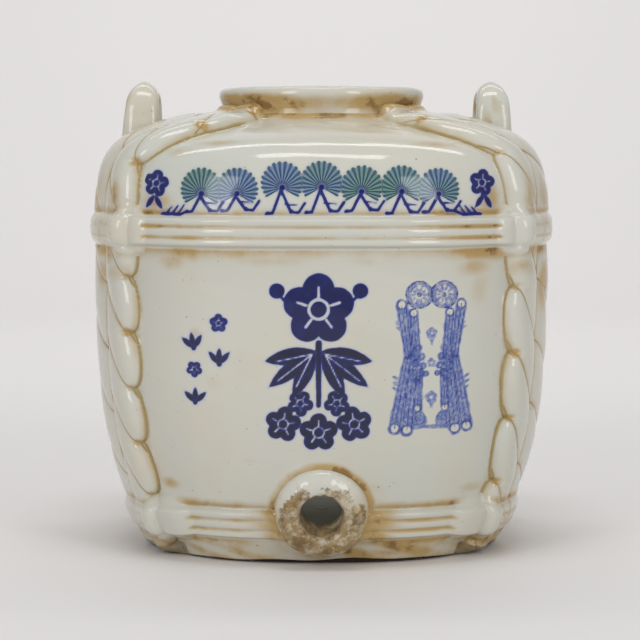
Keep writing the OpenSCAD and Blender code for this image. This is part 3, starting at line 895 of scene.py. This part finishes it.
def paint(n, color):
    """Lays the fans, the pale print and the cobalt over the glaze's colour."""
    wobble = n.ramp(n.noise(300.0, 2.0), 0.2, 0.8, -0.22, 0.22)
    fan_x, fan_z = n.attribute("fan_x"), n.attribute("fan_z")
    angle = n.math("ARCTAN2", fan_x, fan_z)
    far = n.math("SQRT", n.math("ADD", n.times(fan_x, fan_x), n.times(fan_z, fan_z)))
    ribs = n.math("ABSOLUTE", n.math("SINE", n.math("MULTIPLY_ADD", angle, 13.0, wobble)))
    rib = n.times(n.ramp(ribs, 0.52, 0.86), n.ramp(far, 3.0, 13.5, 1.0, 0.75))
    ragged = n.math("MULTIPLY_ADD", ribs, -1.1, n.math("ADD", n.attribute("fan"), wobble))
    in_fan = n.ramp(ragged, -0.9, -0.2, 1.0, 0.0)
    washed = n.blend(n.ramp(n.noise(30.0, 1.0), 0.38, 0.6), TEAL, FAN_BLUE)
    fan_color = n.blend(rib, washed, RIB_BLUE)
    fan_color = n.blend(n.ramp(far, 1.6, 4.2, 0.9, 0.0), fan_color, COBALT)
    color = n.blend(n.ramp(n.attribute("fan"), -1.0, 2.2, 0.3, 0.0), color, TEAL)
    color = n.blend(n.times(in_fan, 0.95), color, fan_color)
    fill = n.ramp(n.math("MULTIPLY_ADD", wobble, 2.0, n.attribute("print_fill")), -0.5, 0.4, 1.0, 0.0)
    stipple = n.ramp(n.noise(600.0, 2.0), 0.36, 0.6, 0.62, 1.0)
    color = n.blend(n.times(fill, stipple), color, PALE_BLUE)
    rings = n.ramp(n.math("MULTIPLY_ADD", wobble, 0.8, n.attribute("print_line")), -0.2, 0.35, 1.0, 0.0)
    drawn = n.times(rings, n.ramp(n.noise(420.0, 2.0), 0.36, 0.58, 0.5, 0.95))
    color = n.blend(drawn, color, PRINT_BLUE)
    ink = n.math("MULTIPLY_ADD", wobble, 0.6, n.attribute("ink"))
    halo = n.ramp(ink, -0.2, 1.6, 0.42, 0.0)
    color = n.blend(halo, color, COBALT_WASH)
    height = n.add("ShaderNodeSeparateXYZ")
    n.put(height.inputs[0], n.position())
    purple = n.ramp(height.outputs["Z"], 0.118, 0.13, 0.92, 0.0)
    tone = n.blend(purple, COBALT, COBALT_DARK)
    tone = n.blend(n.ramp(n.noise(120.0, 3.0), 0.45, 0.75, 0.0, 0.25), tone, COBALT_RIM)
    tone = n.blend(n.ramp(ink, -0.9, -0.2, 0.0, 0.75), tone, COBALT_RIM)
    return n.blend(n.ramp(ink, -0.25, 0.3, 0.97, 0.0), color, tone)


MATERIALS = {
    "glaze": glaze_material("glaze"),
    "roped": glaze_material("glaze_roped", ropes=True),
    "painted": glaze_material("glaze_painted", painting=True),
    "clay_and_glaze": glaze_material("clay_and_glaze", clay=True),
}


def finish_piece(obj, material, slot, *nodes):
    obj.data.materials.append(MATERIALS[material])
    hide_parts(*nodes)


# ---- The jar's pieces ----

NO_BORE = ~touching(from_boss(OUTSIDE) < BORE_R + 2.2)
ALL_COLUMNS = list(range(len(COLUMNS)))


def coarse_columns():
    """Every column where the wall shows, and few where the ropes cover it."""
    f = fold(COLUMNS)
    shown = (f <= ROPES_FROM + 0.6) | (f >= ROPES_TO - 0.6)
    return [i for i in ALL_COLUMNS if shown[i] or i % 8 == 0]


def make_wall():
    columns = coarse_columns()
    obj = cut_from_grid(
        "body_wall", columns, levels_between(RUN[FOOT], RUN[WALL_TOP]), -WALL_T, COVER["wall"],
        NO_BORE, WALL_MASKS, ring=True,
    )
    finish_piece(obj, "painted", "white_glaze", "body_wall")
    obj = cut_from_grid(
        "shoulder", columns, levels_between(RUN[WALL_TOP], SEAMS[-1]), -WALL_T, COVER["wall"],
        masks=WALL_MASKS, ring=True,
    )
    finish_piece(obj, "painted", "white_glaze", "shoulder")


def quarter_span(az, span):
    """The azimuths between which the mirror image of span lies in az's quarter."""
    lo, hi = span
    return [(lo, hi), (180 - hi, 180 - lo), (180 + lo, 180 + hi), (360 - hi, 360 - lo)][int(az // 90)]


def make_ropes():
    for name, (a0, a1, *_) in ROPES.items():
        span = quarter_span(a0, FILLET_AZ["inner" if "inner" in name else "outer"])
        obj = cut_from_grid(
            name, columns_between(*span), levels_between(1.5, SEAMS[-1]), -0.4, COVER["rope"],
            masks=ROPE_MASKS,
        )
        finish_piece(obj, "roped", "stained_glaze", name)


def make_hoops():
    for name, k in (("upper_hoop", UPPER), ("lower_hoop", LOWER)):
        obj = cut_from_grid(
            name, ALL_COLUMNS, levels_between(*HOOP_SPANS[k]), -0.4, COVER["hoop"], NO_BORE, ring=True,
        )
        finish_piece(obj, "glaze", "stained_glaze", name)


def make_knots():
    for name, k in (("upper_knots", UPPER), ("lower_knots", LOWER)):
        keep = touching(knot_relief(AZ, S, k) > KNOT_EDGE)
        reach = KNOTS[k]["reach"] + 2
        obj = cut_from_grid(
            name, ALL_COLUMNS, levels_between(RUN[k] - reach, RUN[k + 1] + reach), -0.4, keep=keep, ring=True,
        )
        finish_piece(obj, "glaze", "stained_glaze", name)


def make_foot():
    masks = ("stain", "lip", "bare")
    obj = cut_from_grid(
        "foot_ring", ALL_COLUMNS, levels_between(0, RUN[FOOT]), -9.5, masks=masks, ring=True,
    )
    finish_piece(obj, "clay_and_glaze", "bare_clay", "foot_ring")


def make_base():
    """The floor of the jar, a little dished, with the wheel's faint rings."""
    az = COLUMNS
    rim = place(az, np.full_like(az, RUN[FOOT] + 4), np.full_like(az, -WALL_T - 0.3))
    shares = np.linspace(0.02, 1, 46)
    top = rim[None] * shares[:, None, None]
    top[..., 2] = 15.0 + 1.1 * shares[:, None] ** 4 + 0.03 * np.sin(40 * shares[:, None])
    low = top[::-1].copy()
    low[..., 2] = 8.2
    obj = loft("base_slab", np.concatenate([top, low])[:, ::-1])
    give_masks(obj, {"stain": np.full(len(obj.data.vertices), 0.12)})
    finish_piece(obj, "glaze", "white_glaze", "base_slab")


def turned(profile, around, wobble):
    """Rings of points about +Z from (radius, height) pairs. wobble moves each by (outwards, up)."""
    turn = np.linspace(0, 2 * math.pi, around, endpoint=False)
    rings = []
    for r, z in profile:
        out, up = wobble(turn, r, z)
        ring = [(r + out) * np.sin(turn), -(r + out) * np.cos(turn), z + up + 0 * turn]
        rings.append(np.stack(ring, axis=-1))
    return np.array(rings)


def rounded(points):
    """Cuts the corners of a closed outline twice, which rounds it."""
    pts = np.array(points, float)
    for _ in range(2):
        nxt = np.roll(pts, -1, axis=0)
        pts = np.stack([mix(pts, nxt, 0.25), mix(pts, nxt, 0.75)], axis=1).reshape(-1, 2)
    return pts


def make_collar():
    """The short collar with its rounded lip, stained where the lip overhangs."""
    profile = rounded([
        (48.2, 228.5), (48.0, 236), (48.0, 244), (48.0, 251), (48.6, 253.6), (51.0, 254.9), (54.4, 254.9),
        (57.0, 253.9), (58.0, 251.8), (57.9, 249.0), (56.9, 246.6), (56.2, 243.5), (56.3, 240.5),
        (57.2, 238.0), (57.8, 235.8), (53.0, 235.4), (52.9, 228.6),
    ])

    def wobble(turn, r, z):
        a = np.degrees(turn)
        lip = smooth((z - 244) / 8)
        out = (0.16 * waves(a, turn * 0, 21, 6, 2, 9) - 0.2) * (r > 50)
        return out, lip * (0.12 * waves(a, turn * 0, 22, 7, 2, 11) - 0.3)

    points = turned(profile, 320, wobble)
    obj = loft("mouth_collar", points)
    turn = np.degrees(np.arctan2(points[..., 0], -points[..., 1]))
    z = points[..., 2]
    outer = np.hypot(points[..., 0], points[..., 1]) > 54
    under_lip = bell(z - 245.0, 5.2) * (0.45 + 1.5 * np.maximum(bell(turn + 52, 36), bell(turn - 48, 28)))
    stain = np.where(outer, under_lip + 0.4 * bell(z - 238, 2.5), 0.25 * bell(z - 252, 4))
    give_masks(obj, {"stain": np.clip(stain, 0, 1.7)})
    finish_piece(obj, "glaze", "white_glaze", "mouth_collar")


BOSS_Z = 30.5
# The height in the profile where the boss meets the wall, and the wall's y there
BOSS_SEAT = 3.0
BOSS_SEAT_Y = -place(np.array([0.0]), np.array([RUN[LOWER + 1]]), np.array([0.0]))[0, 1]


def make_boss():
    """The bored boss for the tap, with its glaze worn off the face."""
    profile = rounded([
        (11.6, -10.5), (11.5, 0), (11.5, 9), (11.6, 12.2), (12.6, 13.8), (15.0, 14.2), (18.2, 13.8),
        (21.2, 12.0), (23.9, 8.8), (25.0, 4.4), (25.0, 0.4), (15.4, 0.2), (15.3, -10.4),
    ])

    def wobble(turn, r, z):
        a = np.degrees(turn)
        face = smooth((z - 8) / 4)
        rough = 0.35 * waves(a, turn * 0, 31, 7, 2, 7) + 0.16 * waves(a, turn * 0, 32, 9, 9, 26)
        edge = bell(r - 12, 1.6) * face
        out = edge * (0.22 * waves(a, turn * 0, 33, 9, 4, 17) + 0.2) + 0.4 * rough * smooth((r - 18) / 3)
        return out, face * (0.7 * rough - 0.6) - edge * 0.3 * (1 + waves(a, turn * 0, 34, 8, 5, 15))

    rings = turned(profile, 288, wobble)
    seat = np.array([0, -BOSS_SEAT_Y, BOSS_Z])
    side = np.array([1.0, 0, 0])
    up = np.cross(side, BOSS_AXIS)
    points = seat + rings[..., :1] * side + rings[..., 1:2] * up + (rings[..., 2:] - BOSS_SEAT) * BOSS_AXIS
    obj = loft("spigot_boss", points)
    height = rings[..., 2]
    radius = np.hypot(rings[..., 0], rings[..., 1])
    turn = np.arctan2(rings[..., 0], -rings[..., 1])
    top_side = np.cos(turn)
    ragged = 0.5 * np.sin(5 * turn) + 0.4 * np.sin(9 * turn + 1)
    worn = smooth((height - 7.8 - 4.0 * top_side + ragged) / 3.4)
    bare = np.where(radius < 13, 0.95, worn)
    stain = np.clip(0.7 * smooth((7 - height) / 6) + 0.5 - 0.45 * top_side, 0, 1)
    give_masks(obj, {"stain": stain, "bare": bare, "lip": np.full(height.size, -9.0)})
    finish_piece(obj, "clay_and_glaze", "bare_clay", "spigot_boss")


LUG_TOP, LUG_ARCH_R, LUG_ROUND = 259.0, 18.4, 11.0
LUG_SEAT_Z, LUG_SEAT_TILT = 223.0, math.radians(19)
EYE_R = 8.0


def make_lug(name, side, lug_x, eye_z, seed):
    """An arch of clay with rounded edges, its feet spread a little where it was pressed onto the shoulder."""
    turn = np.linspace(0, 2 * math.pi, 120, endpoint=False)[:, None]
    section = np.linspace(0, 2 * math.pi, 56, endpoint=False)[None, :]
    sin_t, cos_t = np.sin(turn), np.cos(turn)
    arch_z = LUG_TOP - LUG_ARCH_R
    rise = arch_z - eye_z
    to_arch = rise * cos_t + np.sqrt(LUG_ARCH_R**2 - (rise * sin_t) ** 2)
    to_side = (LUG_ARCH_R + 0.8) / np.maximum(np.abs(sin_t), 1e-3)
    to_seat = (eye_z - LUG_SEAT_Z + 6) / np.maximum(-cos_t, 1e-3)
    legs = (to_side**-12.0 + to_seat**-12.0) ** (-1 / 12)
    outer = np.where(cos_t > 0, to_arch, mix(to_arch, legs, smooth(-cos_t * 3)))
    middle, half = (EYE_R + 0.3 + outer) / 2, (outer - EYE_R - 0.3) / 2
    c, w = np.cos(section), np.sin(section)
    power = 2 / 2.9
    away = middle + half * np.sign(c) * np.abs(c) ** power
    z = eye_z + away * cos_t
    y = away * sin_t
    height = np.clip((LUG_TOP - z) / (LUG_TOP - LUG_SEAT_Z), 0, 1.2)
    thick = 8.1 + 2.9 * height + 2.2 * smooth((height - 0.75) / 0.3)
    crown = np.clip((z - LUG_TOP + LUG_ROUND) / LUG_ROUND, 0, 1)
    x = thick * np.sign(w) * np.abs(w) ** power * np.sqrt(1 - 0.97 * crown**2)
    y = y * (1 + 0.06 * smooth((height - 0.7) / 0.3))
    lean = 1.6 * (height - 0.5)
    around, across = np.broadcast_arrays(np.degrees(turn), section)
    lumps = 0.25 * waves(around, 40 * across, seed, 9, 1, 6)
    x = x * (1 + 0.02 * lumps) + 0.5 * lumps + lean
    z = z + 0.2 * lumps - 0.35
    drop = np.tan(LUG_SEAT_TILT) * x * smooth((height - 0.55) / 0.45)
    points = np.stack([side * (lug_x + x), y, z - drop], axis=-1)
    if side > 0:
        points = points[:, ::-1]
    obj = loft(name, points)
    blotches = 0.45 * waves(around, 30 * across, seed + 1, 6, 1, 5)
    stain = 0.35 * bell(away - EYE_R, 5.0) + 0.55 * smooth((height - 0.5) / 0.5) + blotches
    if side > 0:
        stain = stain[:, ::-1]
    give_masks(obj, {"stain": np.clip(stain, 0, 1)})
    finish_piece(obj, "glaze", "white_glaze", name)


make_wall()
make_ropes()
make_hoops()
make_knots()
make_foot()
make_base()
make_collar()
make_boss()
make_lug("lug_left", -1, 100.5, 241.0, 51)
make_lug("lug_right", 1, 96.0, 242.5, 61)


# ---- Light, floor and camera ----

def sweep_floor():
    """The pale table, which curves up into the backdrop."""
    depth, rise, bend = 2.6, 3.0, 0.9
    profile = [(-3.0, 0.0), (depth - bend, 0.0)]
    for a in np.linspace(0.1, math.pi / 2, 16):
        profile.append((depth - bend + bend * math.sin(a), bend - bend * math.cos(a)))
    profile.append((depth, rise))
    half = 4.0
    verts = [(x, y, z) for y, z in profile for x in (-half, half)]
    faces = [(2 * i, 2 * i + 1, 2 * i + 3, 2 * i + 2) for i in range(len(profile) - 1)]
    obj = smooth_mesh("floor", verts, faces)
    paper = Nodes("paper")
    paper.fill(paper.shader, {"Base Color": rgb(230, 228, 227), "Roughness": 0.7})
    obj.data.materials.append(paper.material)


def area_light(name, at, aim, size, power):
    light = bpy.data.lights.new(name, "AREA")
    light.shape = "RECTANGLE"
    light.size, light.size_y = size
    light.energy = power
    obj = linked(name, light)
    obj.location = at
    obj.rotation_euler = Vector(np.subtract(aim, at)).to_track_quat("-Z", "Y").to_euler()


JAR_MIDDLE = np.array([0, 0, 0.13])


def around_jar(azimuth, elevation, distance):
    """The point at an azimuth from the front and an elevation, in degrees, and a distance from the jar's
    middle."""
    a, e = math.radians(azimuth), math.radians(elevation)
    way = np.array([math.sin(a) * math.cos(e), -math.cos(a) * math.cos(e), math.sin(e)])
    return JAR_MIDDLE + distance * way


def make_lights():
    """Two upright softboxes in front, one above, and a light for the backdrop alone."""
    for name, azimuth in (("softbox_left", -35), ("softbox_right", 35)):
        area_light(name, around_jar(azimuth, 18, 1.6), JAR_MIDDLE, (0.42, 0.8), 5.8)
    area_light("softbox_above", around_jar(0, 76, 1.5), JAR_MIDDLE, (0.7, 0.35), 5.0)
    area_light("backdrop_light", (0, 0.9, 2.0), (0, 2.4, 0.5), (2.2, 0.8), 25)
    world = bpy.data.worlds.new("studio")
    world.use_nodes = True
    background = world.node_tree.nodes["Background"]
    background.inputs["Color"].default_value = rgb(232, 231, 232)
    background.inputs["Strength"].default_value = 0.48
    bpy.context.scene.world = world


def make_camera():
    """1.25 m in front of the jar's axis and 0.22 m above the table, looking slightly down."""
    camera = bpy.data.cameras.new("camera")
    camera.lens = 123.8
    obj = linked("camera", camera)
    obj.location = (-0.0008, -1.25, 0.22)
    pitch = math.radians(4.42)
    obj.rotation_euler = (math.pi / 2 - pitch, 0, 0)
    bpy.context.scene.camera = obj


sweep_floor()
make_lights()
make_camera()
bpy.context.scene.view_settings.view_transform = "Standard"
